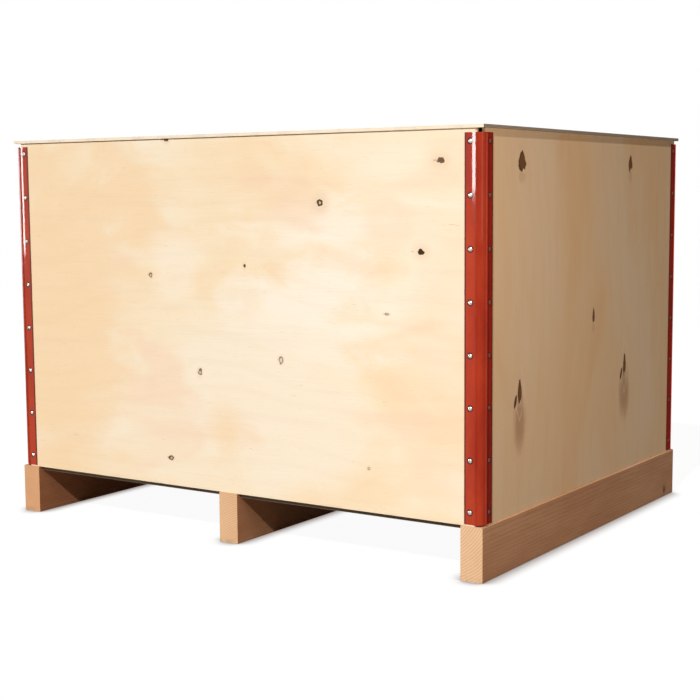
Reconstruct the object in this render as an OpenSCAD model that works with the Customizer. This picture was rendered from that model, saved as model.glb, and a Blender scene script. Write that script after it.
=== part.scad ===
// Folding plywood crate: a base on three skids, a ring of four walls that folds flat on
// steel corner hinges, and a loose lid. Millimetres, Z up, origin on the floor under the middle.
// The long walls run along X, the front wall faces -Y, and the skids run along Y.

/* [Crate] */
// Clear length between the short walls
inside_l = 1200; // [700:10:1800]
// Clear width between the long walls
inside_w = 960; // [500:10:1400]
// Height of the wall ring
ring_h = 750; // [350:10:1200]
// Thickness of the wall panels
wall = 9; // [6:0.5:15]

/* [Lid and base] */
// Thickness of the lid sheet
lid_t = 6.5; // [4:0.5:15]
// How far the lid and the base stand out past the walls
overhang = 3; // [2.9:0.1:20]
// Thickness of the deck sheet
deck_t = 9; // [4:0.5:20]
// Play between the deck sheet and the rebates round it
deck_play = 1; // [0.5:0.5:4]
// Height of a skid
skid_h = 108; // [60:1:180]
// Width of a skid
skid_w = 48; // [36:1:120]
// Bevel along the sawn edges of a skid
skid_bevel = 1.5; // [0.5:0.5:4]

/* [Deck screws] */
// Screws through the deck into each skid
screws_per_skid = 6; // [2:1:10]
// Length of a deck screw
screw_l = 45; // [25:1:80]
// Diameter of the screw shank
screw_d = 4.5; // [3:0.1:6]
// Diameter of the countersunk screw head
screw_head_d = 9; // [7:0.1:12]

/* [Corner hinges] */
// Thickness of the hinge sheet
sheet = 1; // [0.8:0.1:1.1]
// Reach of a hinge leaf along the wall, from the sharp corner
leaf_reach = 38; // [36:0.5:60]
// Radius of the bead that each hinge line turns on
bead_r = 1.3; // [1.1:0.05:1.35]
// Running play between the bead and the curl round it
bead_play = 0.05; // [0.03:0.01:0.1]
// Half of the angle that the curl leaves open for the leaf
curl_open = 70; // [69:1:75]
// Gap between two walls folded flat on each other
fold_gap = 0.6; // [0.4:0.1:3]
// Bevel on the outer edge of a wall's end, clear of the curl
end_bevel = 3.5; // [3.5:0.1:5]
// Gap from the foot of the wall to the hinge
hinge_foot = 3; // [1:0.5:10]
// Gap from the hinge to the top of the wall
hinge_head = 8; // [1:0.5:18]

/* [Rivets] */
// Rivets in each leaf
rivet_count = 8; // [2:1:12]
// Height of the lowest rivet above the foot of the wall
rivet_foot = 26; // [15:1:60]
// Depth of the highest rivet below the top of the wall
rivet_head_gap = 24; // [18:1:60]
// Diameter of the rivet shank
rivet_d = 4; // [3:0.1:5]
// Diameter of the domed rivet head
rivet_head_d = 8; // [6.5:0.1:10]
// Height of the domed rivet head
rivet_head_h = 1.5; // [1:0.1:1.7]
// Diameter of the flush rivet tail
rivet_tail_d = 7; // [6:0.1:9]
// Depth of the flush rivet tail
rivet_tail_h = 1.5; // [1:0.1:2.5]
// Play round the shank and the tail
rivet_play = 0.1; // [0.05:0.05:0.2]

/* [Hidden] */
// The four corners: name, side along X and end along Y
corners = [["front_right", 1, -1], ["back_right", 1, 1], ["back_left", -1, 1], ["front_left", -1, -1]];
corner_pieces = ["knuckle", "long_leaf", "short_leaf", "long_rivets", "short_rivets"];
$fn = 48;

// Past a face, so that a cut goes right through
eps = 1;

// Outer size of the ring, and of the lid and the base
ring_l = inside_l + 2 * wall;
ring_w = inside_w + 2 * wall;
base_l = ring_l + 2 * overhang;
base_w = ring_w + 2 * overhang;
ring_z = skid_h;
lid_z = ring_z + ring_h;

// Each hinge line lies axis_out outside the wall's face and axis_in from the corner. The two
// lines of a corner are then just so far apart that two walls fold onto each other with fold_gap.
axis_out = sheet / 2;
axis_in = (2 * wall + fold_gap + 2 * axis_out) / sqrt(2) - axis_out;
// The wall ends a little behind the hinge line
wall_setback = 0.2;
wall_end = axis_in + wall_setback;
bore_r = bead_r + bead_play;
curl_r = bore_r + sheet;
hinge_z = ring_z + hinge_foot;
hinge_h = ring_h - hinge_foot - hinge_head;

// The rivets stand in the middle of the flat part of the leaf
rivet_in = (axis_in + leaf_reach) / 2;
rivet_pitch = (ring_h - rivet_foot - rivet_head_gap) / (rivet_count - 1);
rivet_hole_d = rivet_d + 2 * rivet_play;
dome_r = (pow(rivet_head_d / 2, 2) + pow(rivet_head_h, 2)) / (2 * rivet_head_h);

// The deck lies in rebates, flush with the tops of the skids
rail = overhang + wall;
deck_l = base_l - 2 * rail - 2 * deck_play;
deck_w = base_w - 2 * rail - 2 * deck_play;
side_skid_x = (base_l - skid_w) / 2;
screw_row_x = side_skid_x - rail / 2;
screw_end_gap = 40;
screw_pitch = (deck_w - 2 * screw_end_gap) / (screws_per_skid - 1);
screw_play = 0.15;
screw_head_h = (screw_head_d - screw_d) / 2;
screw_tip_h = 6;
screw_tip_d = 1;

// Base

// A skid standing on the floor with its middle at x = 0
module skid_bar() {
    translate([0, base_w / 2, 0])
        rotate([90, 0, 0])
            linear_extrude(base_w)
                polygon([
                    [-skid_w / 2 + skid_bevel, 0],
                    [skid_w / 2 - skid_bevel, 0],
                    [skid_w / 2, skid_bevel],
                    [skid_w / 2, skid_h - skid_bevel],
                    [skid_w / 2 - skid_bevel, skid_h],
                    [-skid_w / 2 + skid_bevel, skid_h],
                    [-skid_w / 2, skid_h - skid_bevel],
                    [-skid_w / 2, skid_bevel]
                ]);
}

// The room that the deck sheet takes up, with its play
module deck_room() {
    translate([-base_l / 2 + rail, -base_w / 2 + rail, skid_h - deck_t])
        cube([base_l - 2 * rail, base_w - 2 * rail, deck_t + eps]);
}

// The places of the screws in one skid's row
module screw_row(x) {
    for (i = [0 : screws_per_skid - 1])
        translate([x, -deck_w / 2 + screw_end_gap + i * screw_pitch, skid_h])
            children();
}

// A countersunk screw with its head at z = 0, grown by play for its hole
module deck_screw(play) {
    translate([0, 0, -screw_head_h])
        cylinder(h = screw_head_h, d1 = screw_d + 2 * play, d2 = screw_head_d + 2 * play);
    translate([0, 0, -screw_l + screw_tip_h])
        cylinder(h = screw_l - screw_tip_h, d = screw_d + 2 * play);
    translate([0, 0, -screw_l - play])
        cylinder(h = screw_tip_h + play, d1 = screw_tip_d + 2 * play, d2 = screw_d + 2 * play);
}

module skid_with_rebate(x, row_x) {
    color("burlywood")
        difference() {
            translate([x, 0, 0])
                skid_bar();
            deck_room();
            screw_row(row_x)
                deck_screw(screw_play);
        }
}

module skid_left() {
    skid_with_rebate(-side_skid_x, -screw_row_x);
}

module skid_centre() {
    skid_with_rebate(0, 0);
}

module skid_right() {
    skid_with_rebate(side_skid_x, screw_row_x);
}

module deck_panel() {
    color("wheat")
        difference() {
            translate([-deck_l / 2, -deck_w / 2, skid_h - deck_t])
                cube([deck_l, deck_w, deck_t]);
            for (x = [-screw_row_x, 0, screw_row_x])
                screw_row(x)
                    deck_screw(screw_play);
        }
}

module deck_screws() {
    color("silver")
        for (x = [-screw_row_x, 0, screw_row_x])
            screw_row(x)
                deck_screw(0);
}

// Lid

module lid_panel() {
    color("wheat")
        translate([-base_l / 2, -base_w / 2, lid_z])
            cube([base_l, base_w, lid_t]);
}

// Walls

// A wall of the given outer length, lying along X with its outer face on y = 0
module wall_sheet(length) {
    translate([0, 0, ring_z])
        linear_extrude(ring_h)
            polygon([
                [-length / 2 + wall_end + end_bevel, 0],
                [length / 2 - wall_end - end_bevel, 0],
                [length / 2 - wall_end, end_bevel],
                [length / 2 - wall_end, wall],
                [-length / 2 + wall_end, wall],
                [-length / 2 + wall_end, end_bevel]
            ]);
}

// The heights of the rivets in one leaf
module rivet_column() {
    for (i = [0 : rivet_count - 1])
        translate([0, 0, ring_z + rivet_foot + i * rivet_pitch])
            children();
}

// The hole of a rivet along Y through the hinge sheet and the wall, with its flush tail
module rivet_hole() {
    translate([0, -sheet - eps, 0])
        rotate([-90, 0, 0])
            cylinder(h = sheet + wall + 2 * eps, d = rivet_hole_d);
    translate([0, wall - rivet_tail_h, 0])
        rotate([-90, 0, 0])
            cylinder(h = rivet_tail_h, d1 = rivet_hole_d, d2 = rivet_tail_d + 2 * rivet_play);
}

// A wall with its two columns of rivet holes
module drilled_wall(length) {
    color("wheat")
        difference() {
            wall_sheet(length);
            for (x = [-length / 2 + rivet_in, length / 2 - rivet_in])
                translate([x, 0, 0])
                    rivet_column()
                        rivet_hole();
        }
}

module front_panel() {
    translate([0, -ring_w / 2, 0])
        drilled_wall(ring_l);
}

module back_panel() {
    translate([0, ring_w / 2, 0])
        mirror([0, 1, 0])
            drilled_wall(ring_l);
}

module right_panel() {
    translate([ring_l / 2, 0, 0])
        rotate([0, 0, 90])
            drilled_wall(ring_w);
}

module left_panel() {
    translate([-ring_l / 2, 0, 0])
        rotate([0, 0, -90])
            drilled_wall(ring_w);
}

// Corner hinges, drawn for the front right corner with the sharp corner at x = 0, y = 0.
// The long wall runs to -X with its outer face on y = 0, the short wall runs to +Y with its
// outer face on x = 0.

// Puts a corner's piece at one of the four corners
module at_corner(side, end) {
    translate([side * ring_l / 2, end * ring_w / 2, 0])
        mirror([side < 0 ? 1 : 0, 0, 0])
            mirror([0, end > 0 ? 1 : 0, 0])
                children();
}

// Turns a piece drawn for the long wall so that it serves the short wall
module for_short_wall() {
    mirror([1, 1, 0])
        children();
}

// A leaf on the long wall: a flat flange with a solid bead along its edge
module leaf() {
    color("firebrick")
        difference() {
            translate([0, 0, hinge_z])
                union() {
                    translate([-leaf_reach, -sheet, 0])
                        cube([leaf_reach - axis_in, sheet, hinge_h]);
                    translate([-axis_in, -axis_out, 0])
                        cylinder(h = hinge_h, r = bead_r);
                }
            translate([-rivet_in, 0, 0])
                rivet_column()
                    rivet_hole();
        }
}

// The wedge that a curl leaves open round -X, for the leaf to swing in
module curl_mouth() {
    reach = 2 * curl_r;
    translate([0, 0, -eps])
        linear_extrude(hinge_h + 2 * eps)
            polygon([
                [0, 0],
                [-reach * cos(curl_open), reach * sin(curl_open)],
                [-reach, reach * sin(curl_open)],
                [-reach, -reach * sin(curl_open)],
                [-reach * cos(curl_open), -reach * sin(curl_open)]
            ]);
}

// The curl round the bead of the long leaf
module curl() {
    translate([-axis_in, -axis_out, 0])
        difference() {
            cylinder(h = hinge_h, r = curl_r);
            curl_mouth();
        }
}

// The bore for the bead, cut right through the knuckle
module curl_bore() {
    translate([-axis_in, -axis_out, -eps])
        cylinder(h = hinge_h + 2 * eps, r = bore_r);
}

// The rounded nose between the two curls
module nose() {
    translate([-axis_in, axis_in, 0])
        intersection() {
            difference() {
                cylinder(h = hinge_h, r = axis_in + sheet, $fn = 96);
                translate([0, 0, -eps])
                    cylinder(h = hinge_h + 2 * eps, r = axis_in, $fn = 96);
            }
            translate([0, -2 * axis_in, -eps])
                cube([2 * axis_in, 2 * axis_in, hinge_h + 2 * eps]);
        }
}

// The knuckle: the nose with a curl on each side, one for each leaf of the corner
module knuckle() {
    color("firebrick")
        translate([0, 0, hinge_z])
            difference() {
                union() {
                    nose();
                    curl();
                    for_short_wall()
                        curl();
                }
                curl_bore();
                for_short_wall()
                    curl_bore();
            }
}

// A rivet along Y: domed head outside the hinge sheet, shank, and tail flush with the inside
module rivet() {
    shank_l = sheet + wall;
    translate([0, -sheet, 0])
        rotate([-90, 0, 0])
            cylinder(h = shank_l, d = rivet_d);
    translate([0, wall - rivet_tail_h, 0])
        rotate([-90, 0, 0])
            cylinder(h = rivet_tail_h, d1 = rivet_d, d2 = rivet_tail_d);
    intersection() {
        translate([0, -sheet - rivet_head_h + dome_r, 0])
            sphere(r = dome_r);
        translate([0, -sheet, 0])
            rotate([90, 0, 0])
                cylinder(h = rivet_head_h + eps, d = rivet_head_d);
    }
}

// The rivets of the long leaf
module leaf_rivets() {
    color("gainsboro")
        translate([-rivet_in, 0, 0])
            rivet_column()
                rivet();
}

skid_left();
skid_centre();
skid_right();
deck_panel();
deck_screws();
lid_panel();
front_panel();
right_panel();
back_panel();
left_panel();
for (c = corners) {
    at_corner(c[1], c[2]) knuckle();
    at_corner(c[1], c[2]) leaf();
    at_corner(c[1], c[2]) for_short_wall() leaf();
    at_corner(c[1], c[2]) leaf_rivets();
    at_corner(c[1], c[2]) for_short_wall() leaf_rivets();
}
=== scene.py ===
import math

import bmesh
import bpy
from mathutils import Matrix, Vector


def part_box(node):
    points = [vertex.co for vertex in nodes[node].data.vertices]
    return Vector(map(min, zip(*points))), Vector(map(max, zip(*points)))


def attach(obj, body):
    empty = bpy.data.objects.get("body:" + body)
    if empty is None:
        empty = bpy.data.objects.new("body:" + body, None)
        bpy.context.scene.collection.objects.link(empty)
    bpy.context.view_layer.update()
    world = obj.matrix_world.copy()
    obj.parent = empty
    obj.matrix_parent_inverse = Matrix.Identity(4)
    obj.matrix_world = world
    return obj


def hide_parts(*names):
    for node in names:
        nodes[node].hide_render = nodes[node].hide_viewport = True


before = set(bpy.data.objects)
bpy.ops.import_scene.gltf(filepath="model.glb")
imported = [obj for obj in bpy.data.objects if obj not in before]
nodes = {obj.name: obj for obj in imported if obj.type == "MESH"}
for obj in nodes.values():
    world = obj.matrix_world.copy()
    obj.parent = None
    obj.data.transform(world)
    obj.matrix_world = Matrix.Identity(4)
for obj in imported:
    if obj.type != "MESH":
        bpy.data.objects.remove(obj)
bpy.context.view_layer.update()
print("frame loaded:", len(nodes), "nodes")

corners = ["front_right", "back_right", "back_left", "front_left"]
mm = 0.001
white = (1, 1, 1)


# A small helper that keeps node trees short to write
class Graph:
    def __init__(self, name):
        self.material = bpy.data.materials.new(name)
        self.material.use_nodes = True
        self.tree = self.material.node_tree
        self.tree.nodes.clear()
        self.output = self.add("ShaderNodeOutputMaterial")
        place = self.add("ShaderNodeTexCoord")
        self.spot = place.outputs["Object"]
        self.x, self.y, self.z = self.split(self.spot)
        self.nx, self.ny, self.nz = self.split(place.outputs["Normal"])

    def add(self, kind, **settings):
        made = self.tree.nodes.new(kind)
        for key, value in settings.items():
            setattr(made, key, value)
        return made

    def put(self, socket, value):
        if isinstance(value, bpy.types.NodeSocket):
            self.tree.links.new(value, socket)
        elif isinstance(value, (tuple, list)) and len(value) == 3 and socket.type == "RGBA":
            socket.default_value = (*value, 1)
        else:
            socket.default_value = value

    def split(self, vector):
        made = self.add("ShaderNodeSeparateXYZ")
        self.put(made.inputs[0], vector)
        return made.outputs[0], made.outputs[1], made.outputs[2]

    def vector(self, x, y, z=0.0):
        made = self.add("ShaderNodeCombineXYZ")
        for socket, value in zip(made.inputs, (x, y, z)):
            self.put(socket, value)
        return made.outputs[0]

    # the place with its own scale along each axis
    def scaled(self, *scales):
        places = (self.x, self.y, self.z)
        moved = (self.times(place, scale) if scale else 0.0 for place, scale in zip(places, scales))
        return self.vector(*moved)

    def calc(self, operation, *values):
        made = self.add("ShaderNodeMath", operation=operation)
        for socket, value in zip(made.inputs, values):
            self.put(socket, value)
        return made.outputs[0]

    def times(self, a, b):
        return self.calc("MULTIPLY", a, b)

    def plus(self, a, b):
        return self.calc("ADD", a, b)

    def minus(self, a, b):
        return self.calc("SUBTRACT", a, b)

    def most(self, a, b):
        return self.calc("MAXIMUM", a, b)

    def least(self, a, b):
        return self.calc("MINIMUM", a, b)

    def plain(self, a):
        return self.calc("ABSOLUTE", a)

    def size(self, a, b):
        return self.calc("SQRT", self.plus(self.times(a, a), self.times(b, b)))

    def fit(self, value, low, high, outLow=0.0, outHigh=1.0):
        made = self.add("ShaderNodeMapRange", interpolation_type="SMOOTHSTEP")
        for socket, entry in zip(made.inputs, (value, low, high, outLow, outHigh)):
            self.put(socket, entry)
        return made.outputs[0]

    def noise(self, vector, scale=1.0, detail=3.0, rough=0.5, distortion=0.0):
        made = self.add("ShaderNodeTexNoise")
        self.put(made.inputs["Vector"], vector)
        made.inputs["Scale"].default_value = scale
        made.inputs["Detail"].default_value = detail
        made.inputs["Roughness"].default_value = rough
        made.inputs["Distortion"].default_value = distortion
        return made.outputs["Fac"]

    # noise over a sheet, with its own scale along the grain and across it
    def grain(self, a, c, scales, seed, detail=3.0, rough=0.5, distortion=0.0):
        place = self.vector(self.times(a, scales[0]), self.times(c, scales[1]), seed)
        return self.noise(place, 1, detail, rough, distortion)

    def blend(self, amount, a, b):
        made = self.add("ShaderNodeMix", data_type="RGBA")
        self.put(made.inputs[0], amount)
        self.put(made.inputs[6], a)
        self.put(made.inputs[7], b)
        return made.outputs[2]

    def bump(self, height, strength, distance):
        made = self.add("ShaderNodeBump")
        made.inputs["Strength"].default_value = strength
        made.inputs["Distance"].default_value = distance
        self.put(made.inputs["Height"], height)
        return made.outputs[0]

    def surface(self, **values):
        shader = self.add("ShaderNodeBsdfPrincipled")
        for key, value in values.items():
            self.put(shader.inputs[key.replace("_", " ")], value)
        self.tree.links.new(shader.outputs[0], self.output.inputs["Surface"])
        return self.material


def finish(node, material):
    slots = nodes[node].data.materials
    for i in range(len(slots)):
        slots[i] = material
    if not len(slots):
        slots.append(material)


def tinted(tone, tint):
    return tuple(v * t for v, t in zip(tone, tint))


# Colours of the sheets, linear
tones = {
    "milk": (0.925, 0.855, 0.735),
    "cream": (0.900, 0.800, 0.640),
    "straw": (0.895, 0.745, 0.530),
    "honey": (0.885, 0.665, 0.420),
    "blush": (0.885, 0.655, 0.465),
    "grainLine": (0.700, 0.460, 0.270),
    "knotDark": (0.042, 0.024, 0.009),
    "knotBrown": (0.300, 0.170, 0.075),
    "spike": (0.150, 0.058, 0.016),
    "smear": (0.400, 0.220, 0.120),
    "plyLight": (0.950, 0.870, 0.740),
    "plyDark": (0.900, 0.780, 0.630),
    "endGrain": (0.200, 0.150, 0.110),
    # dirt tone, also used for the painted shade along the veneer's edges
    "glue": (0.200, 0.110, 0.060),
    "dirtAndShade": (0.260, 0.190, 0.140),
}

# Round knots of the long sheets, where the grain runs level: place, height, half width in mm,
# stretch along the grain, how full the middle is, how dark it is, and how far its shade spreads
roundKnots = {
    "front": [
        (-0.1547, 0.8561, 6.0, 1.1, 0.80, 0.85, 2.5),
        (0.2431, 0.7212, 6.2, 1.1, 0.50, 0.95, 5.0),
        (0.5190, 0.8001, 5.4, 1.5, 0.95, 0.80, 4.0),
        (0.4761, 0.6272, 5.8, 1.1, 1.00, 1.00, 4.5),
        (0.0515, 0.5912, 3.6, 0.7, 0.90, 0.90, 3.5),
        (-0.2056, 0.5661, 5.4, 0.9, 0.40, 0.85, 2.0),
        (0.1420, 0.4006, 8.2, 0.8, 0.22, 0.70, 1.8),
        (-0.0732, 0.3621, 7.6, 0.8, 0.30, 0.75, 2.0),
        (-0.1585, 0.1681, 5.6, 1.2, 0.55, 0.85, 2.0),
        (0.3990, 0.5050, 2.4, 2.2, 0.60, 0.45, 2.5),
        (0.3550, 0.1960, 3.4, 1.3, 0.20, 0.45, 2.0),
    ],
    "back": [
        (0.390, 0.740, 7.0, 1.2, 0.20, 0.75, 4.5),
        (-0.470, 0.610, 6.0, 1.1, 0.90, 0.85, 4.0),
        (-0.130, 0.790, 4.5, 1.0, 0.70, 0.80, 3.5),
        (0.100, 0.520, 7.6, 1.1, 0.10, 0.60, 3.0),
        (0.500, 0.350, 5.5, 0.9, 0.20, 0.65, 3.0),
        (-0.320, 0.290, 6.8, 1.2, 0.90, 0.90, 4.5),
        (0.240, 0.190, 3.8, 1.0, 0.80, 0.75, 4.0),
    ],
    "lid": [
        (0.330, 0.240, 8.0, 1.2, 0.50, 0.80, 4.0),
        (-0.220, 0.330, 6.0, 1.1, 0.20, 0.70, 3.5),
        (-0.430, -0.180, 8.5, 1.2, 0.30, 0.75, 3.5),
        (0.110, -0.300, 5.0, 1.0, 0.90, 0.85, 4.0),
        (0.480, -0.060, 6.5, 1.1, 0.40, 0.75, 4.0),
    ],
}

# Spike knots of the short sheets, where the grain stands upright: height, place, half width in
# mm, stretch up the grain, how much the top narrows, then the length and half width in mm of the
# smear that hangs below, and whether a second spike lies beside the foot
spikeKnots = {
    "right": [
        (0.7985, -0.3300, 17.0, 1.20, 0.80, 22, 16, False),
        (0.8010, 0.2061, 11.5, 1.60, 0.80, 24, 11, False),
        (0.4740, 0.0142, 6.5, 2.60, 0.70, 20, 9, False),
        (0.3500, 0.1870, 8.0, 3.40, 0.60, 92, 32, True),
        (0.3505, -0.3345, 8.8, 2.75, 0.60, 92, 27, True),
    ],
    "left": [
        (0.730, 0.290, 14.0, 1.30, 0.80, 22, 13, False),
        (0.610, -0.130, 7.0, 2.20, 0.70, 24, 9, False),
        (0.330, -0.310, 8.5, 2.80, 0.60, 88, 26, True),
        (0.250, 0.170, 11.0, 1.50, 0.70, 26, 11, False),
    ],
    "deck": [
        (0.200, 0.260, 10.0, 1.50, 0.60, 30, 10, False),
        (-0.240, -0.340, 8.0, 2.40, 0.60, 50, 16, True),
        (-0.050, 0.090, 11.0, 1.40, 0.60, 34, 12, False),
    ],
}

# The second spike of a pair, in mm from the middle of the first: how far down and aside its
# middle lies, its two half sizes, and its lean
twinSpike = {"down": 19, "aside": 18.5, "halfTall": 13.5, "halfWide": 5.2, "lean": 0.30}

# The pale seam round one spike and round a pair: how close it runs up and aside, and how strong
seams = {"single": (0.66, 0.72, 0.30), "pair": (0.44, 0.46, 0.75)}

# The smear below a spike: a tail longer than this, in mm, is a strong one
smears = {"longTail": 40, "strong": 0.60, "weak": 0.22}

# How far the grain parts round a knot, and how ragged the knots' rims are along and across
knotEdge = {"parting": 0.75, "ragged": (110, 130), "strands": (9, 110)}

# Broad soft patches of the veneer: place, height, half length, half height, tone, amount
patches = {
    "front": [
        # the large honey patch over the left third and the milk patch in the middle are partly painted
        # light (a darker left and a paler middle of the face) and partly the veneer's own tone
        (-0.520, 0.500, 0.300, 0.620, "honey", 0.85),
        (0.260, 0.560, 0.190, 0.180, "milk", 0.90),
        (0.180, 0.280, 0.230, 0.150, "cream", 0.70),
        (-0.140, 0.572, 0.070, 0.060, "milk", 0.50),
        (0.180, 0.735, 0.080, 0.060, "blush", 0.60),
        (0.400, 0.680, 0.050, 0.090, "blush", 0.40),
        (0.530, 0.795, 0.060, 0.040, "blush", 0.50),
        (0.470, 0.300, 0.130, 0.030, "blush", 0.50),
        (0.560, 0.450, 0.120, 0.300, "blush", 0.35),
        (-0.220, 0.320, 0.110, 0.050, "blush", 0.35),
        (0.000, 0.240, 0.060, 0.070, "honey", 0.60),
    ],
    "back": [
        (0.350, 0.450, 0.250, 0.400, "honey", 0.60),
        (-0.300, 0.600, 0.200, 0.150, "cream", 0.80),
        (0.150, 0.700, 0.090, 0.070, "blush", 0.60),
    ],
}


# The knots of one sheet as masks. Bent is the across axis, pushed aside round each knot.
class KnotMasks:
    def __init__(self, g, a, c, seed):
        self.g, self.a, self.c = g, a, c
        self.bent = c
        self.layers = {key: 0.0 for key in ("dark", "middle", "shade", "spike", "pale", "smear")}
        self.ragged = g.minus(g.grain(a, c, knotEdge["ragged"], seed, 2), 0.5)
        self.strands = g.minus(g.grain(a, c, knotEdge["strands"], seed + 2), 0.5)

    def gather(self, key, value):
        self.layers[key] = self.g.most(self.layers[key], value)

    # the grain parts round a knot
    def part(self, away, far, cross):
        pull = self.g.fit(away, far, 0.0, 0.0, knotEdge["parting"])
        self.bent = self.g.minus(self.bent, self.g.times(pull, self.g.minus(self.c, cross)))

    # the two distances from a knot's middle, in its own half sizes
    def local(self, place, cross, halfAlong, halfAcross):
        u = self.g.times(self.g.minus(self.a, place), 1 / halfAlong)
        v = self.g.times(self.g.minus(self.c, cross), 1 / halfAcross)
        return u, v

    def addRound(self, place, cross, half, stretch, full, dark, spread):
        g = self.g
        u, v = self.local(place, cross, half * mm * stretch, half * mm)
        away = g.size(u, v)
        rough = g.plus(away, g.times(self.ragged, 1.5))
        inside = g.fit(rough, 1.08, 0.92)
        hole = 0.80 * (1 - full)
        ring = g.minus(inside, g.fit(rough, hole + 0.04, hole - 0.10)) if full < 0.9 else inside
        self.gather("dark", g.times(ring, dark))
        self.gather("middle", g.times(inside, 0.10 + 0.90 * full))
        self.gather("shade", g.fit(away, spread, 0.8))
        # little ragged checks run out along the grain
        long = g.size(g.times(g.plus(u, 0.5), 0.55), g.times(v, 3.0))
        tails = g.plus(long, g.times(self.ragged, 3.5))
        self.gather("dark", g.times(g.fit(tails, 0.9, 0.6, 0.0, 0.35 * dark), g.fit(away, 0.9, 1.1)))
        self.part(away, spread * 2.0, cross)

    def addSpike(self, place, cross, half, stretch, taper, tail, tailHalf, twin):
        g = self.g
        u, v = self.local(place, cross, half * mm * stretch, half * mm)
        away = g.size(u, g.times(v, g.fit(u, -0.30, 1.1, 1.0, 1.0 + taper)))
        torn = g.size(g.plus(u, 0.90), g.minus(v, 0.30))
        notch = g.fit(g.plus(torn, g.times(self.ragged, 0.8)), 0.30, 0.20)
        body = g.fit(g.plus(away, g.times(self.ragged, 0.65)), 1.05, 0.95)
        inside = g.times(body, g.minus(1.0, notch))
        self.gather("spike", inside)
        rim = g.fit(g.plus(away, g.times(self.ragged, 0.5)), 0.45, 0.95)
        edge = g.times(rim, g.fit(v, 0.5, -0.3, 0.20, 1.0))
        self.gather("dark", g.times(g.times(inside, edge), 0.75))
        self.gather("pale", g.times(notch, 0.6))
        self.gather("shade", g.fit(away, 2.2, 0.9, 0.0, 0.45))
        self.part(away, 3.6, cross)
        self.addSeam(u, v, twin)
        if twin:
            self.addTwin(place, cross)
        # a smear hangs below the foot
        foot = place - half * mm * stretch
        along, wide = self.local(foot - tail * mm * 0.42, cross, tail * mm * 0.66, tailHalf * mm)
        fray = g.plus(g.times(self.ragged, 0.3), g.times(self.strands, 0.7))
        hang = g.plus(g.size(along, wide), fray)
        amount = smears["strong"] if tail > smears["longTail"] else smears["weak"]
        self.gather("smear", g.fit(hang, 1.25, 0.35, 0.0, amount))

    # a pale broken seam runs round the spike, or round the pair of spikes
    def addSeam(self, u, v, twin):
        g = self.g
        scaleUp, scaleAside, amount = seams["pair" if twin else "single"]
        tall = g.times(g.plus(u, 0.15), scaleUp)
        seam = g.plus(g.times(tall, tall), g.times(g.plain(v), scaleAside))
        seam = g.plus(seam, g.times(self.ragged, 0.25))
        line = g.times(g.fit(seam, 1.14, 1.00), g.fit(seam, 0.80, 0.94))
        self.gather("pale", g.times(g.times(line, g.fit(self.strands, -0.15, 0.10)), amount))

    def addTwin(self, place, cross):
        g = self.g
        up = g.minus(self.a, place - twinSpike["down"] * mm)
        aside = g.minus(self.c, cross - twinSpike["aside"] * mm)
        tilt = g.minus(aside, g.times(up, twinSpike["lean"]))
        u = g.times(up, 1 / (twinSpike["halfTall"] * mm))
        v = g.times(tilt, 1 / (twinSpike["halfWide"] * mm))
        beside = g.size(u, v)
        self.gather("spike", g.fit(beside, 1.08, 0.90))
        self.gather("dark", g.fit(beside, 1.0, 0.5, 0.0, 0.7))


# Veneer: scales of its noises along and across the grain, and how strongly each layer shows
veneer = {
    "cloud": (2.2, 4.2),
    "warm": (3.0, 6.5),
    "torn": (9, 14),
    "slow": (0.9, 2.4),
    "ripple": (5, 34),
    "fibre": (11, 520),
    "streak": (3.2, 90),
    "pore": (55, 900),
    "tick": (24, 260),
    "scuffLong": (2.3, 38),
    "scuffWhere": (2, 2),
    "edgeDirtAndShadePatch": (24, 24),
    "gritScale": 900,
    "bands": 15,  # growth bands in a metre across the grain
    "lateAmount": 0.16,
    "streakAmount": 0.20,
    "fibreAmount": 0.14,
    "poreAmount": 0.18,
    "tickAmount": 0.35,
    "shadeAmount": 0.30,
    "paleAmount": 0.55,
    "middleAmount": 0.60,
    "scuffAmount": 0.12,
    # darkening along the edges: partly dirt, partly painted shade where the sheets meet
    "edgeDirtAndShadeAmount": 0.16,
    "edgeDirtAndShadeReach": 0.007,
    "specular": 0.08,
    "relief": 0.00035,
}


# Soft clouds of tone, wide along the grain, and the broad patches
def veneerTone(g, a, c, name, sheet, palette):
    seed, calm = sheet["seed"], sheet["calm"]
    cloud = g.grain(a, c, (veneer["cloud"][0] * calm, veneer["cloud"][1]), seed + 13, 3, 0.55, 0.7)
    warm = g.grain(a, c, (veneer["warm"][0] * calm, veneer["warm"][1]), seed + 17, 3, 0.55, 0.5)
    colour = g.blend(g.fit(cloud, 0.36, 0.60), palette["cream"], palette["straw"])
    colour = g.blend(g.fit(cloud, 0.52, 0.74, 0.0, 0.75), colour, palette["honey"])
    colour = g.blend(g.fit(warm, 0.55, 0.72, 0.0, 0.60), colour, palette["blush"])
    torn = g.minus(g.grain(a, c, veneer["torn"], seed + 19, 3, 0.6, 0.6), 0.5)
    torn = g.plus(g.times(torn, 1.6), g.times(g.minus(warm, 0.5), 2.6))
    for place, cross, halfLong, halfHigh, tone, amount in patches.get(name, ()):
        u = g.times(g.minus(a, place), 1 / halfLong)
        v = g.times(g.minus(c, cross), 1 / halfHigh)
        rough = g.plus(g.size(u, v), torn)
        colour = g.blend(g.fit(rough, 1.35, 0.35, 0.0, amount), colour, palette[tone])
    return colour


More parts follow.
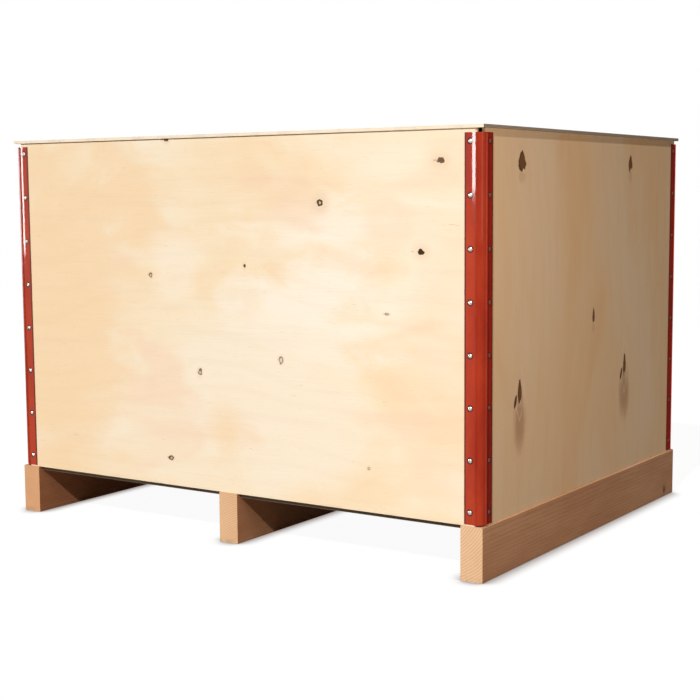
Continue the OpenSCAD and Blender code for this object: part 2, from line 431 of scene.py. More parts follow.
# A sheet of plywood: face veneer with knots on its two big faces, plies on its edges
def plywood(name, sheet):
    g = Graph("veneer_" + name)
    low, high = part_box(name + "_panel")
    axis = {key: "xyz".index(sheet[key]) for key in ("along", "across", "through")}
    places, normals = (g.x, g.y, g.z), (g.nx, g.ny, g.nz)
    a, c, d = (places[axis[key]] for key in ("along", "across", "through"))
    facing = g.fit(g.plain(normals[axis["through"]]), 0.6, 0.8)
    ended = g.fit(g.plain(normals[axis["along"]]), 0.6, 0.8)
    seed = sheet["seed"]
    palette = {key: tinted(tone, sheet["tint"]) for key, tone in tones.items()}

    knots = KnotMasks(g, a, c, seed)
    for knot in roundKnots.get(name, ()):
        knots.addRound(*knot)
    for knot in spikeKnots.get(name, ()):
        knots.addSpike(*knot)
    bent, masks = knots.bent, knots.layers
    colour = veneerTone(g, a, c, name, sheet, palette)

    # growth bands, fibres and pores
    slow = g.grain(a, bent, veneer["slow"], seed + 3, 2)
    ripple = g.grain(a, bent, veneer["ripple"], seed + 5, 3, 0.55)
    phase = g.plus(g.plus(g.times(bent, veneer["bands"]), g.times(slow, 9.0)), g.times(ripple, 0.35))
    late = g.fit(g.calc("SINE", g.times(phase, 2 * math.pi)), 0.2, 1.0)
    fibre = g.grain(a, bent, veneer["fibre"], seed + 7, 4, 0.62)
    streak = g.grain(a, bent, veneer["streak"], seed + 9, 3, 0.6)
    pore = g.fit(g.grain(a, bent, veneer["pore"], seed + 11, 2), 0.66, 0.74)
    tick = g.fit(g.grain(a, bent, veneer["tick"], seed + 12, 2), 0.74, 0.80)
    figure = sheet["figure"]
    line = palette["grainLine"]
    colour = g.blend(g.times(late, veneer["lateAmount"] * figure), colour, line)
    colour = g.blend(g.fit(streak, 0.50, 0.80, 0.0, veneer["streakAmount"] * figure), colour, line)
    colour = g.blend(g.fit(fibre, 0.48, 0.80, 0.0, veneer["fibreAmount"]), colour, line)
    colour = g.blend(g.times(pore, veneer["poreAmount"]), colour, palette["knotBrown"])
    colour = g.blend(g.times(tick, veneer["tickAmount"]), colour, palette["knotBrown"])

    # knots
    colour = g.blend(g.times(masks["shade"], veneer["shadeAmount"]), colour, line)
    colour = g.blend(masks["smear"], colour, palette["smear"])
    colour = g.blend(g.times(masks["pale"], veneer["paleAmount"]), colour, tones["cream"])
    colour = g.blend(g.times(masks["middle"], veneer["middleAmount"]), colour, palette["knotBrown"])
    colour = g.blend(masks["spike"], colour, tones["spike"])
    colour = g.blend(masks["dark"], colour, tones["knotDark"])

    # plies on the sawn edges; a ply shows end grain, which is darker, on the edge its grain runs into
    waver = g.minus(g.noise(g.vector(g.times(g.plus(a, c), 60), g.times(d, 400), seed), 1, 2), 0.5)
    start = (low if sheet["plyStart"] == "low" else high)[axis["through"]]
    plyThick = (high - low)[axis["through"]] / sheet["plies"]
    layer = g.times(g.plain(g.minus(d, start)), 1 / plyThick)
    layer = g.plus(layer, g.times(waver, 0.25))
    odd = g.plain(g.minus(g.fit(g.calc("MODULO", layer, 2.0), 0.96, 1.04), ended))
    glue = g.fit(g.calc("PINGPONG", layer, 0.5), 0.07, 0.0)
    gritScale = veneer["gritScale"]
    grit = g.noise(g.vector(g.times(a, gritScale), g.times(c, gritScale), g.times(d, gritScale)), 1, 2)
    edge = g.blend(odd, palette["plyLight"], palette["plyDark"])
    edge = g.blend(g.times(ended, g.fit(odd, 0.0, 1.0, 0.70, 0.95)), edge, tones["endGrain"])
    edge = g.blend(g.fit(grit, 0.50, 0.80, 0.0, 0.20), edge, palette["knotBrown"])
    edge = g.blend(g.times(glue, 0.40), edge, tones["glue"])
    colour = g.blend(facing, edge, colour)

    # handling marks, and darkening along the sheet's edges: partly dirt, partly painted shade where the
    # sheets meet
    long = g.grain(a, c, veneer["scuffLong"], seed + 23, 6, 0.72)
    where = g.grain(a, c, veneer["scuffWhere"], seed + 29, 2)
    scuff = g.times(g.fit(long, 0.60, 0.78), g.fit(where, 0.50, 0.68))
    colour = g.blend(g.times(scuff, veneer["scuffAmount"]), colour, tones["dirtAndShade"])
    # painted shade where the sheets meet, mixed with dirt, within a few mm of each edge
    near = g.least(*(g.least(g.minus(value, low[axis[key]]), g.minus(high[axis[key]], value))
                     for key, value in (("along", a), ("across", c))))
    patchy = g.grain(a, c, veneer["edgeDirtAndShadePatch"], seed + 31, 4, 0.65)
    edgeDirtAndShade = g.times(g.fit(near, veneer["edgeDirtAndShadeReach"], 0.0), g.fit(patchy, 0.42, 0.70))
    colour = g.blend(g.times(edgeDirtAndShade, veneer["edgeDirtAndShadeAmount"]), colour, tones["dirtAndShade"])

    height = g.plus(g.times(fibre, 0.5), g.plus(g.times(pore, -0.5), g.times(masks["dark"], -1.2)))
    height = g.minus(height, g.times(g.plus(glue, g.times(odd, 0.5)), g.minus(1.0, facing)))
    return g.surface(Base_Color=colour, Roughness=g.fit(streak, 0.3, 0.8, 0.58, 0.74),
                     Specular_IOR_Level=veneer["specular"], Normal=g.bump(height, 0.35, veneer["relief"]))


# How each sheet lies: the axis its face grain runs along, the one across it and the one through
# it, the side its plies are counted from, its tint, and how strong and calm its figure is. The short
# walls' tints, darker and redder, are a warmer veneer and partly painted shade of the side faces.
longWall = {"along": "x", "across": "z", "through": "y", "plies": 7}
shortWall = {"along": "z", "across": "y", "through": "x", "plies": 7}
sheets = {
    "front": {**longWall, "plyStart": "low", "seed": 1.3, "tint": white, "figure": 0.30, "calm": 1.0},
    "back": {**longWall, "plyStart": "high", "seed": 21.7, "tint": (1, 0.985, 0.96),
             "figure": 0.75, "calm": 0.8},
    # darker and redder tint: a warmer veneer, and partly painted shade of the side face
    "right": {**shortWall, "plyStart": "high", "seed": 41.2, "tint": (0.91, 0.775, 0.655),
              "figure": 0.25, "calm": 0.8},
    "left": {**shortWall, "plyStart": "low", "seed": 63.9, "tint": (0.93, 0.82, 0.72),
             "figure": 0.70, "calm": 0.6},
    "lid": {"along": "x", "across": "y", "through": "z", "plies": 5, "plyStart": "low", "seed": 83.1,
            "tint": (1, 0.98, 0.95), "figure": 0.90, "calm": 0.8},
    "deck": {"along": "y", "across": "x", "through": "z", "plies": 7, "plyStart": "low", "seed": 105.4,
             "tint": (0.94, 0.87, 0.78), "figure": 0.90, "calm": 0.7},
}
for name, sheet in sheets.items():
    finish(name + "_panel", plywood(name, sheet))
print("plywood done")

# Sawn softwood: linear tones, noise scales along x, y and z, and amounts
pine = {
    "early": (0.600, 0.345, 0.200),
    "deep": (0.500, 0.265, 0.145),
    "late": (0.360, 0.175, 0.085),
    "endLight": (0.780, 0.520, 0.320),
    "endWarm": (0.700, 0.430, 0.240),
    "endRing": (0.480, 0.250, 0.120),
    "knotCore": (0.160, 0.065, 0.030),
    "knotRim": (0.050, 0.022, 0.012),
    "smear": (0.230, 0.120, 0.070),
    "fuzzScale": (70, 5, 70),
    "fibreScale": (520, 12, 520),
    "cloudScale": (14, 3, 14),
    "poreScale": (1400, 0, 1400),
    "shakeScale": (0, 30, 40),
    "dirtScale": (60, 40, 60),
    "smearScale": (5, 6, 22),
    "drift": 0.030,  # metres that the heart wanders along the bar
    "fuzz": 0.0030,
    "sawPitch": 0.0034,
    "dirtHeight": 0.014,
    "dirtAmount": 0.40,
    "smearAmount": 0.30,
    "specular": 0.12,
    "relief": 0.0005,
}

# The skids: heart of the tree across the bar, ring width, tints of the sides and of the ends, and
# knots as place along, height, half width in mm, stretch, and the side of the bar they show on
bars = {
    "right": {"heart": (0.490, 0.160), "ring": 0.0052, "seed": 3.1,
              "tint": (0.97, 0.93, 0.90), "endTint": white,
              "knots": [(0.436, 0.017, 7.5, 0.8, 1), (-0.120, 0.070, 6.0, 1.4, -1)]},
    "centre": {"heart": (0.060, -0.060), "ring": 0.0046, "seed": 9.4,
               "tint": (0.95, 0.84, 0.76), "endTint": (1, 0.97, 0.94),
               "knots": [(0.150, 0.060, 7.0, 1.3, 1), (-0.240, 0.040, 6.0, 1.3, -1)]},
    "left": {"heart": (-0.640, -0.050), "ring": 0.0048, "seed": 17.7,
             "tint": (0.88, 0.66, 0.56), "endTint": (0.92, 0.77, 0.68),
             "knots": [(0.060, 0.050, 8.0, 1.3, 1), (-0.300, 0.065, 6.0, 1.3, -1)]},
}


# Knots on the sides of a bar: masks of core, rim and shade, and how far they push the rings
def barKnots(g, name, bar):
    low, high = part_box("skid_" + name)
    middle = (low.x + high.x) / 2
    bend, rim, core, shade = 0.0, 0.0, 0.0, 0.0
    for y, z, half, stretch, side in bar["knots"]:
        u = g.times(g.minus(g.y, y), 1 / (half * mm * stretch))
        v = g.times(g.minus(g.z, z), 1 / (half * mm))
        onSide = g.fit(g.times(g.minus(g.x, middle), side), 0.0, 0.015)
        away = g.size(u, v)
        ring = g.times(g.fit(away, 1.25, 1.0), g.fit(away, 0.7, 1.0))
        core = g.most(core, g.times(onSide, g.fit(away, 1.1, 0.8)))
        rim = g.most(rim, g.times(onSide, ring))
        shade = g.most(shade, g.times(onSide, g.fit(away, 3.2, 0.9)))
        bend = g.plus(bend, g.times(g.times(onSide, g.fit(away, 4.0, 0.0)), half * mm * 0.9))
    return bend, rim, core, shade


# A sawn softwood bar along y: growth rings round a heart that lies off the bar
def softwood(name, bar):
    g = Graph("pine_" + name)
    seed = bar["seed"]
    wander = g.noise(g.vector(g.times(g.x, 3), g.times(g.y, 1.4), seed), 1, 2)
    drift = g.times(g.minus(wander, 0.5), pine["drift"])
    dx = g.plus(g.minus(g.x, bar["heart"][0]), drift)
    dz = g.plus(g.minus(g.z, bar["heart"][1]), g.times(drift, 0.7))
    fuzz = g.times(g.minus(g.noise(g.scaled(*pine["fuzzScale"]), 1, 3, 0.6), 0.5), pine["fuzz"])
    bend, rim, core, shade = barKnots(g, name, bar)
    count = g.times(g.plus(g.plus(g.size(dx, dz), fuzz), bend), 1 / bar["ring"])
    part = g.calc("FRACT", count)
    late = g.times(g.fit(part, 0.45, 0.92), g.fit(part, 1.0, 0.95))
    wide = g.noise(g.vector(g.calc("FLOOR", count), seed, 0), 0.37, 0)
    fibre = g.noise(g.scaled(*pine["fibreScale"]), 1, 3, 0.6)
    cloud = g.noise(g.scaled(*pine["cloudScale"]), 1, 3, 0.55)
    ended = g.fit(g.plain(g.ny), 0.6, 0.8)

    early, deep, lateTone = (tinted(pine[key], bar["tint"]) for key in ("early", "deep", "late"))
    colour = g.blend(g.fit(cloud, 0.35, 0.70), early, deep)
    colour = g.blend(g.times(late, g.fit(wide, 0.3, 0.7, 0.12, 0.34)), colour, lateTone)
    colour = g.blend(g.fit(fibre, 0.45, 0.80, 0.0, 0.26), colour, lateTone)
    # the sawn ends are paler, with open pores and clear rings
    pores = g.fit(g.noise(g.scaled(*pine["poreScale"]), 1, 2), 0.50, 0.72)
    light, warm, ring = (tinted(pine[key], bar["endTint"]) for key in ("endLight", "endWarm", "endRing"))
    endTone = g.blend(g.fit(cloud, 0.3, 0.7, 0.0, 0.5), light, warm)
    endTone = g.blend(g.times(late, 0.48), endTone, ring)
    endTone = g.blend(g.times(pores, 0.22), endTone, lateTone)
    colour = g.blend(ended, colour, endTone)
    colour = g.blend(g.times(shade, 0.45), colour, lateTone)
    colour = g.blend(g.times(core, 0.80), colour, pine["knotCore"])
    colour = g.blend(g.times(rim, 0.60), colour, pine["knotRim"])

    # the saw leaves fine ripples across the length, and the foot picks up dirt
    shake = g.times(g.noise(g.scaled(*pine["shakeScale"]), 1, 2), 5)
    saw = g.calc("SINE", g.plus(g.times(g.y, 2 * math.pi / pine["sawPitch"]), shake))
    ground = g.noise(g.scaled(*pine["dirtScale"]), 1, 4, 0.65)
    foot = g.times(g.fit(g.z, pine["dirtHeight"], 0.0), g.fit(ground, 0.40, 0.66))
    colour = g.blend(g.times(foot, pine["dirtAmount"]), colour, tones["dirtAndShade"])
    smear = g.fit(g.noise(g.scaled(*pine["smearScale"]), 1, 5, 0.7), 0.58, 0.80)
    colour = g.blend(g.times(smear, pine["smearAmount"]), colour, pine["smear"])
    ripples = g.times(g.times(saw, g.minus(1.0, ended)), 0.10)
    height = g.plus(ripples, g.plus(g.times(fibre, 0.7), g.times(late, 0.35)))
    return g.surface(Base_Color=colour, Roughness=g.fit(fibre, 0.3, 0.8, 0.66, 0.82),
                     Specular_IOR_Level=pine["specular"], Normal=g.bump(height, 0.5, pine["relief"]))


for name, bar in bars.items():
    finish("skid_" + name, softwood(name, bar))
print("skids done")

# Blind rivets: a domed flange with the broken pin in its hole, and a hollow tail flush inside.
# Radius and height in mm from the face of the hinge sheet.
rivet = {
    "profile": [(0, 0.85), (0.55, 0.92), (0.80, 0.72), (0.92, 0.45), (1.10, 0.45), (1.22, 1.28),
                (1.50, 1.47), (2.20, 1.16), (2.90, 0.82), (3.50, 0.52), (3.88, 0.30), (4.00, 0.16),
                (3.96, 0.0), (2.00, 0.0), (2.00, -8.5), (3.48, -9.98), (3.30, -10.0), (1.50, -9.75),
                (1.30, -9.2), (0, -9.2)],
    "sides": 28,
    "head": 1.5,
    "headRadius": 4.0,
    "count": 8,
}
longLow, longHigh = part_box("front_right_long_rivets")
shortLow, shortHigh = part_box("front_right_short_rivets")
leafLow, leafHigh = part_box("front_right_long_leaf")
rivetFoot = longLow.z + rivet["headRadius"] * mm
rivetTop = longHigh.z - rivet["headRadius"] * mm
rivetPitch = (rivetTop - rivetFoot) / (rivet["count"] - 1)

# Glossy red-brown paint over steel. The long leaves' red is painted lighter and the short leaves' and
# knuckles' darker: painted light and shade of the faces they turn to. The short leaves also have less
# gloss.
# Lengths are in metres from the middle of a rivet, scales are noise scales along x, y and z.
hinge = {
    "rivetX": (longLow.x + longHigh.x) / 2,
    "rivetY": -(shortLow.y + shortHigh.y) / 2,
    # the ring round each rivet is painted shade round its head, over a pressed dent
    "ringDentAndShadeOutside": (0.0078, 0.0056),
    "ringDentAndShadeInside": (0.0030, 0.0038),
    # the band along the leaf's free edge is painted shade of its step onto the wood, with grime
    "grimeAndShadeBand": (-0.0084, -0.0096),
    "runLength": 0.034,
    "runHalf": 0.0035,
    "cloudScale": (18, 18, 6),
    "fineScale": (900, 900, 55),
    "chipScale": (240, 240, 90),
    "dustScale": (60, 60, 26),
    "peelScale": 420,
    "dustAmount": 0.012,
    "primer": (0.200, 0.040, 0.024),
    "bare": (0.400, 0.350, 0.310),
    "grimeAndShade": (0.110, 0.014, 0.006),
    "ringShadeTone": (0.045, 0.010, 0.007),
    "dust": (0.620, 0.500, 0.400),
    "chipReach": 0.008,
    "bow": 3.2,  # how strongly the strip beside the rivets is crowned
    "coatRoughness": 0.06,
    "relief": 0.0002,
    # one red in three copies: painted light on the long leaves, painted shade on the short leaves and on
    # the knuckles' turn
    "long_leaf": {"paintAndPaintedLight": (0.445, 0.038, 0.006), "deepPaintAndPaintedLight": (0.340, 0.020, 0.003),
                  "specular": 0.03, "coat": 0.45, "ring": 0.90},
    "short_leaf": {"paintAndPaintedLight": (0.375, 0.021, 0.008), "deepPaintAndPaintedLight": (0.285, 0.012, 0.005),
                   "specular": 0.0, "coat": 0.04, "ring": 0.55},
    "knuckle": {"paintAndPaintedLight": (0.370, 0.036, 0.012), "deepPaintAndPaintedLight": (0.280, 0.021, 0.007),
                "specular": 0.03, "coat": 0.10, "ring": 0.0},
}


# Darkening along a leaf's free edge: painted shade of its step onto the wood, with grime. A dark ring round
# each rivet: painted shade round its head, over a pressed dent. A run of rust below it.
def rivetShadeAndMarks(g, du, fine, look, colour):
    half = rivetPitch / 2
    rise = g.calc("FLOORED_MODULO", g.plus(g.z, half - rivetFoot), rivetPitch)
    dz = g.minus(rise, half)
    away = g.plus(g.size(du, dz), g.times(g.minus(g.noise(g.spot, 300, 2), 0.5), 0.0011))
    ring = g.times(g.fit(away, *hinge["ringDentAndShadeOutside"]), g.fit(away, *hinge["ringDentAndShadeInside"]))
    # painted shade of the leaf's step along its free edge, with grime
    colour = g.blend(g.fit(du, *hinge["grimeAndShadeBand"], 0.0, 0.90), colour, hinge["grimeAndShade"])
    # painted shade round each rivet head
    colour = g.blend(g.times(ring, look["ring"]), colour, hinge["ringShadeTone"])
    run = g.times(g.fit(dz, -hinge["runLength"], -0.004), g.fit(dz, 0.0, -0.003))
    run = g.times(run, g.fit(g.plain(du), hinge["runHalf"], 0.0))
    return ring, g.blend(g.times(run, g.fit(fine, 0.35, 0.7, 0.0, 0.30)), colour, hinge["primer"])


def paintedSteel(part, rivetAxis):
    g = Graph("paint_" + part)
    look = hinge[part]
    cloud = g.noise(g.scaled(*hinge["cloudScale"]), 1, 4, 0.6)
    peel = g.noise(g.spot, hinge["peelScale"], 2, 0.5)
    fine = g.noise(g.scaled(*hinge["fineScale"]), 1, 3, 0.6)
    # each part's red is the one paint lightened or darkened as painted light and shade
    colour = g.blend(g.fit(cloud, 0.35, 0.70), look["paintAndPaintedLight"], look["deepPaintAndPaintedLight"])
    colour = g.blend(g.fit(fine, 0.55, 0.85, 0.0, 0.20), colour, hinge["primer"])
    # chips gather at the two ends of the hinge
    chips = g.fit(g.noise(g.scaled(*hinge["chipScale"]), 1, 5, 0.7), 0.70, 0.74)
    reach = hinge["chipReach"]
    ends = g.most(g.fit(g.z, leafLow.z + reach, leafLow.z), g.fit(g.z, leafHigh.z - reach, leafHigh.z))
    chips = g.times(chips, g.fit(ends, 0.0, 1.0, 0.20, 1.0))
    ring, lacquer = 0.0, {}
    if rivetAxis:
        flat, offset = {"x": (g.x, hinge["rivetX"]), "y": (g.y, hinge["rivetY"])}[rivetAxis]
        du = g.minus(g.plain(flat), offset)
        ring, colour = rivetShadeAndMarks(g, du, fine, look, colour)
    if rivetAxis == "x":
        # the rolling leaves the strip beside the rivets very slightly crowned
        past = g.most(du, 0.0)
        lacquer["Coat_Normal"] = g.bump(g.times(g.times(past, past), -hinge["bow"]), 1.0, 1.0)
    colour = g.blend(g.times(chips, 0.75), colour, hinge["bare"])
    dust = g.fit(g.noise(g.scaled(*hinge["dustScale"]), 1, 5, 0.7), 0.50, 0.80)
    colour = g.blend(g.times(dust, hinge["dustAmount"]), colour, hinge["dust"])
    rough = g.plus(g.fit(fine, 0.3, 0.8, 0.30, 0.42), g.times(dust, 0.14))
    height = g.plus(g.times(peel, 0.22), g.plus(g.times(chips, -0.8), g.times(ring, -0.9)))
    return g.surface(Base_Color=colour, Roughness=rough, Specular_IOR_Level=look["specular"],
                     Coat_Weight=look["coat"], Coat_Roughness=hinge["coatRoughness"],
                     Normal=g.bump(height, 0.18, hinge["relief"]), **lacquer)


for part, rivetAxis in (("long_leaf", "x"), ("short_leaf", "y"), ("knuckle", "")):
    paintAndPaintedLight = paintedSteel(part, rivetAxis)
    for corner in corners:
        finish(corner + "_" + part, paintAndPaintedLight)
print("hinges done")


# Bare metal of the rivets and screws: its tone, its dull tone, and how rough it is in each. The
# rivets of the short leaves are a dark red copy: painted shade of the side they face.
metals = {
    "rivet_bright": {"tone": (0.60, 0.54, 0.48), "dull": (0.30, 0.26, 0.22), "rough": (0.20, 0.40)},
    # a dark red copy of the rivet metal: painted shade of the short leaves' side
    "rivet_shaded": {"tone": (0.15, 0.060, 0.040), "dull": (0.09, 0.030, 0.020), "rough": (0.45, 0.65)},
    "screw_zinc": {"tone": (0.72, 0.69, 0.60), "dull": (0.48, 0.45, 0.39), "rough": (0.28, 0.50)},
}
metalScratch = {"tone": (0.20, 0.18, 0.16), "scale": (1800, 1800, 260), "relief": 0.0002}


def bareMetal(name):
    g = Graph(name)
    metal = metals[name]
    mottled = g.noise(g.spot, 420, 4, 0.6)
    scratch = g.noise(g.scaled(*metalScratch["scale"]), 1, 3, 0.65)
    colour = g.blend(g.fit(mottled, 0.40, 0.72), metal["tone"], metal["dull"])
    colour = g.blend(g.fit(scratch, 0.60, 0.80, 0.0, 0.4), colour, metalScratch["tone"])
    height = g.plus(g.times(scratch, 0.6), g.times(mottled, 0.4))
    return g.surface(Base_Color=colour, Metallic=0.75, Normal=g.bump(height, 0.3, metalScratch["relief"]),
                     Roughness=g.fit(mottled, 0.3, 0.8, *metal["rough"]))


rivetMetal = {"long": bareMetal("rivet_bright"), "short": bareMetal("rivet_shaded")}
screwMetal = bareMetal("screw_zinc")


# Rings of points joined into a closed skin. A ring is (radii, height): one radius or a list,
# and a radius of 0 is a point on the axis.
def turned(mesh, rings, angles, place, outward):
    side = Vector((0, 0, 1)).cross(outward) if abs(outward.z) < 0.5 else Vector((1, 0, 0))
    up = outward.cross(side)
    rows = []
    for radii, height in rings:
        spread = radii if isinstance(radii, list) else [radii] * len(angles)
        if not any(spread):
            rows.append([mesh.verts.new(place + outward * height * mm)])
            continue
        offsets = [side * math.cos(t) * r + up * math.sin(t) * r for r, t in zip(spread, angles)]
        rows.append([mesh.verts.new(place + (offset + outward * height) * mm) for offset in offsets])
    for upper, lower in zip(rows, rows[1:]):
        for i in range(len(angles)):
            j = (i + 1) % len(angles)
            points = [upper[i % len(upper)], lower[i % len(lower)],
                      lower[j % len(lower)], upper[j % len(upper)]]
            mesh.faces.new(list(dict.fromkeys(points)))


def addPiece(name, mesh, material, node, body):
    bmesh.ops.recalc_face_normals(mesh, faces=mesh.faces)
    data = bpy.data.meshes.new(name)
    mesh.to_mesh(data)
    mesh.free()
    data.materials.append(material)
    for face in data.polygons:
        face.use_smooth = True
    data.set_sharp_from_angle(angle=math.radians(35))
    piece = bpy.data.objects.new(name, data)
    bpy.context.scene.collection.objects.link(piece)
    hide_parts(node)
    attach(piece, body)


def makeRivets(corner, leaf, body):
    node = corner + "_" + leaf + "_rivets"
    low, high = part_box(node)
    axis = 1 if leaf == "long" else 0
    middle = (low + high) / 2
    sign = 1 if middle[axis] > 0 else -1
    outward = Vector([sign if i == axis else 0 for i in range(3)])
    crown = high[axis] if sign > 0 else low[axis]
    angles = [2 * math.pi * i / rivet["sides"] for i in range(rivet["sides"])]
    mesh = bmesh.new()
    for i in range(rivet["count"]):
        place = middle.copy()
        place[axis] = crown - sign * rivet["head"] * mm
        place.z = rivetFoot + i * rivetPitch
        turned(mesh, rivet["profile"], angles, place, outward)
    addPiece(corner + "_" + leaf + "_blind_rivets", mesh, rivetMetal[leaf], node, body)


for corner in corners:
    makeRivets(corner, "long", corner.split("_")[0] + "_wall")
    makeRivets(corner, "short", corner.split("_")[1] + "_wall")
print("rivets done")

# Countersunk wood screws with a cross recess; radius and height in mm from the top of the deck
screw = {
    "perRow": 6,
    "endGap": 40,
    "headRadius": 4.5,
    "armReach": 2.5,
    "armHalf": 0.62,
    "recess": 2.3,
    "neck": [(3.0, 0.0), (4.35, 0.0), (4.48, -0.12), (2.6, -2.0), (2.25, -3.2)],
    "shank": 2.2,
    "root": 1.55,
    "crest": 2.22,
    "threadStart": -16.0,
    "threadEnd": -39.0,
    "threadPitch": 1.3,
    "tip": -44.9,
}


# Radii of the cross recess at each angle
def crossRecess(angles, scale):
    radii = []
    for t in angles:
        c, s = abs(math.cos(t)), abs(math.sin(t))
        reach = min(screw["armReach"] / max(c, s), screw["armHalf"] / max(min(c, s), 1e-6))
        radii.append(reach * scale)
    return radii


def makeScrews():
    lean = math.atan2(screw["armHalf"], screw["armReach"])
    quarter = [0.0, lean, math.radians(30), math.radians(45), math.radians(60), math.pi / 2 - lean]
    angles = [q + k * math.pi / 2 for k in range(4) for q in quarter]
    start, pitch = screw["threadStart"], screw["threadPitch"]
    rings = [(0, -screw["recess"]), (crossRecess(angles, 0.45), -screw["recess"])]
    rings += [(crossRecess(angles, 1.0), -0.05), *screw["neck"], (screw["shank"], start)]
    for i in range(int((start - screw["threadEnd"]) / pitch)):
        rings.append((screw["root"], start - (i + 0.35) * pitch))
        rings.append((screw["crest"], start - (i + 0.85) * pitch))
    rings += [(1.5, screw["threadEnd"] - 0.5), (0, screw["tip"])]
    deckCorner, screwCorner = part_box("deck_panel")[1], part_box("deck_screws")[1]
    row = screwCorner.x - screw["headRadius"] * mm
    end = deckCorner.y - screw["endGap"] * mm
    mesh = bmesh.new()
    for x in (-row, 0.0, row):
        for i in range(screw["perRow"]):
            y = -end + 2 * end * i / (screw["perRow"] - 1)
            turned(mesh, rings, angles, Vector((x, y, deckCorner.z)), Vector((0, 0, 1)))
    addPiece("cross_recess_screws", mesh, screwMetal, "deck_screws", "base")


makeScrews()
print("screws done")

# Floor: white to the eye with the crate's shadow on it, and a middling paper for the light it returns
floor = {
    "size": 40.0,
    "drop": 0.0002,
    "paper": (0.17, 0.15, 0.13),
    "paperDark": (0.13, 0.12, 0.11),
    "shown": 0.06,
    "glow": 0.95,
    "contactTone": (0.34, 0.29, 0.27),
    "contactReach": 0.050,
}


def makeFloor():
    bpy.ops.mesh.primitive_plane_add(size=floor["size"], location=(0, 0, -floor["drop"]))
    ground = bpy.context.object
    ground.name = "studio_floor"
    g = Graph("studio_paper")
    paper = g.add("ShaderNodeBsdfDiffuse")
    fleck = g.fit(g.noise(g.spot, 55, 4, 0.6), 0.3, 0.7, 0.0, 0.2)
    g.put(paper.inputs["Color"], g.blend(fleck, floor["paper"], floor["paperDark"]))
    thin = g.add("ShaderNodeBsdfDiffuse")
    g.put(thin.inputs["Color"], (floor["shown"],) * 3)
    contact = g.add("ShaderNodeAmbientOcclusion", samples=16)
    contact.inputs["Distance"].default_value = floor["contactReach"]
    glow = g.add("ShaderNodeEmission")
    glow.inputs["Strength"].default_value = floor["glow"]
    clear = g.fit(contact.outputs["AO"], 0.40, 0.95)
    g.put(glow.inputs["Color"], g.blend(clear, floor["contactTone"], white))
    seen = g.add("ShaderNodeAddShader")
    g.put(seen.inputs[0], thin.outputs[0])
    g.put(seen.inputs[1], glow.outputs[0])
    path = g.add("ShaderNodeLightPath")
    mirrored = g.most(path.outputs["Is Glossy Ray"], path.outputs["Is Transmission Ray"])
    choose = g.add("ShaderNodeMixShader")
    g.put(choose.inputs[0], g.most(path.outputs["Is Camera Ray"], mirrored))
    g.put(choose.inputs[1], paper.outputs[0])
    g.put(choose.inputs[2], seen.outputs[0])
    g.tree.links.new(choose.outputs[0], g.output.inputs["Surface"])
    ground.data.materials.append(g.material)


# Air: a weak warm fill for the crate, white to the camera and to gloss
air = {"fill": (1.0, 0.80, 0.62), "strength": 0.05}


def makeWorld():
    world = bpy.data.worlds.new("studio_air")
    bpy.context.scene.world = world
    world.use_nodes = True
    tree = world.node_tree
    tree.nodes.clear()
    out = tree.nodes.new("ShaderNodeOutputWorld")
    path = tree.nodes.new("ShaderNodeLightPath")
    soft = tree.nodes.new("ShaderNodeBackground")
    soft.inputs[0].default_value = (*air["fill"], 1)
    soft.inputs[1].default_value = air["strength"]
    bright = tree.nodes.new("ShaderNodeBackground")
    bright.inputs[0].default_value = (*white, 1)
    bright.inputs[1].default_value = 1.0
    seen = path.outputs["Is Camera Ray"]
    for ray in ("Is Glossy Ray", "Is Transmission Ray"):
        either = tree.nodes.new("ShaderNodeMath")
        either.operation = "MAXIMUM"
        tree.links.new(seen, either.inputs[0])
        tree.links.new(path.outputs[ray], either.inputs[1])
        seen = either.outputs[0]
    mix = tree.nodes.new("ShaderNodeMixShader")
    tree.links.new(seen, mix.inputs[0])
    tree.links.new(soft.outputs[0], mix.inputs[1])
    tree.links.new(bright.outputs[0], mix.inputs[2])
    tree.links.new(mix.outputs[0], out.inputs[0])


# Lamps. The sun is the key. The window, pane and card are seen only by the gloss of paint and
# metal: they give the bright strips on the front leaves.
sun = {"direction": (0.17, -1.0, 0.84), "strength": 3.8, "angle": 1.2, "tone": (1.0, 0.98, 0.955)}
softboxes = {
    "fill": {"place": (1.55, -0.95, 0.85), "target": (0.62, -0.25, 0.45), "size": (0.5, 0.5),
             "power": 5.5, "tone": (1.0, 0.83, 0.68), "onlyGloss": False},
    "rim": {"place": (-2.4, 2.8, 2.0), "target": (0, 0, 0.45), "size": (1.4, 1.4),
            "power": 80, "tone": (1.0, 0.92, 0.82), "onlyGloss": False},
    "window": {"place": (-0.86, -4.0, 1.04), "target": (0.59, -0.49, 1.04), "size": (0.45, 0.60),
               "power": 38, "tone": white, "onlyGloss": True},
    "pane": {"place": (-3.74, -2.96, 0.75), "target": (-0.59, -0.49, 0.75), "size": (0.36, 0.60),
             "power": 24, "tone": white, "onlyGloss": True},
    "card": {"place": (-5.0, -1.0, 0.98), "target": (-0.60, -1.0, 0.98), "size": (2.8, 1.25),
             "power": 150, "tone": white, "onlyGloss": True},
}


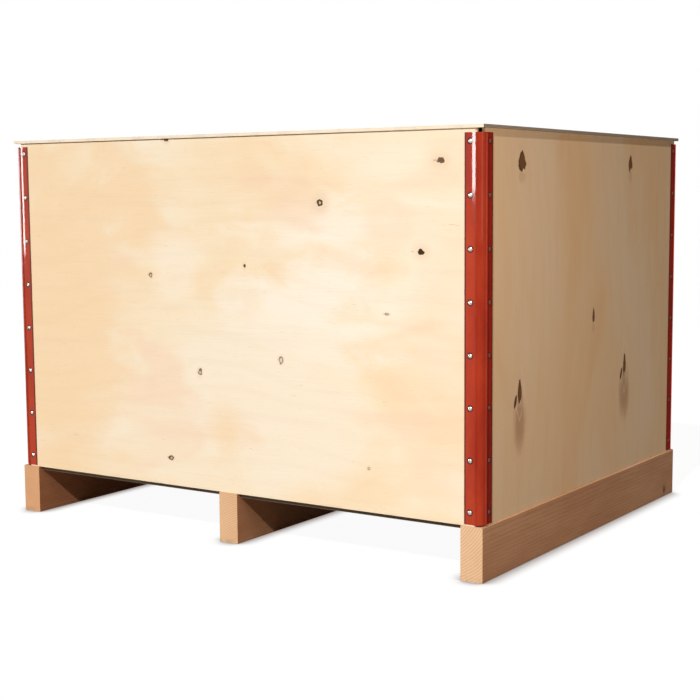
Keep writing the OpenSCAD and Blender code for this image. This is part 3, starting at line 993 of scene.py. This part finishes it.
def addLamp(data, place, target):
    lamp = bpy.data.objects.new(data.name, data)
    lamp.location = Vector(place)
    lamp.rotation_euler = (Vector(place) - Vector(target)).to_track_quat("Z", "Y").to_euler()
    bpy.context.scene.collection.objects.link(lamp)
    return lamp


def makeSun():
    data = bpy.data.lights.new("key", "SUN")
    data.energy = sun["strength"]
    data.angle = math.radians(sun["angle"])
    data.color = sun["tone"]
    addLamp(data, Vector(sun["direction"]) * 4, (0, 0, 0))


def makeSoftbox(name, box):
    data = bpy.data.lights.new(name, "AREA")
    data.shape = "RECTANGLE"
    data.size, data.size_y = box["size"]
    data.energy = box["power"]
    data.color = box["tone"]
    lamp = addLamp(data, box["place"], box["target"])
    lamp.visible_camera = False
    lamp.visible_diffuse = not box["onlyGloss"]


makeFloor()
makeWorld()
makeSun()
for name, box in softboxes.items():
    makeSoftbox(name, box)

# Camera, from a fit to the photograph; focal and frame are in its pixels
view = {
    "place": (1.86901545, -2.82949968, 0.73908508),
    "azimuth": 33.632361,
    "down": 6.264989,
    "roll": -0.419416,
    "focal": 1426.4184,
    "frame": 700.0,
    "sensor": 36.0,
}


def makeCamera():
    data = bpy.data.cameras.new("camera")
    data.sensor_width = view["sensor"]
    data.sensor_fit = "HORIZONTAL"
    data.lens = view["focal"] * view["sensor"] / view["frame"]
    camera = bpy.data.objects.new("camera", data)
    bpy.context.scene.collection.objects.link(camera)
    azimuth, down, roll = (math.radians(view[key]) for key in ("azimuth", "down", "roll"))
    back = Vector((math.sin(azimuth) * math.cos(down), -math.cos(azimuth) * math.cos(down), math.sin(down)))
    right = Vector((math.cos(azimuth), math.sin(azimuth), 0))
    up = back.cross(right)
    right, up = math.cos(roll) * right + math.sin(roll) * up, -math.sin(roll) * right + math.cos(roll) * up
    turn = Matrix((right, up, back)).transposed().to_4x4()
    camera.matrix_world = Matrix.Translation(view["place"]) @ turn
    bpy.context.scene.camera = camera


makeCamera()
bpy.context.scene.view_settings.view_transform = "Standard"
print("stage done")
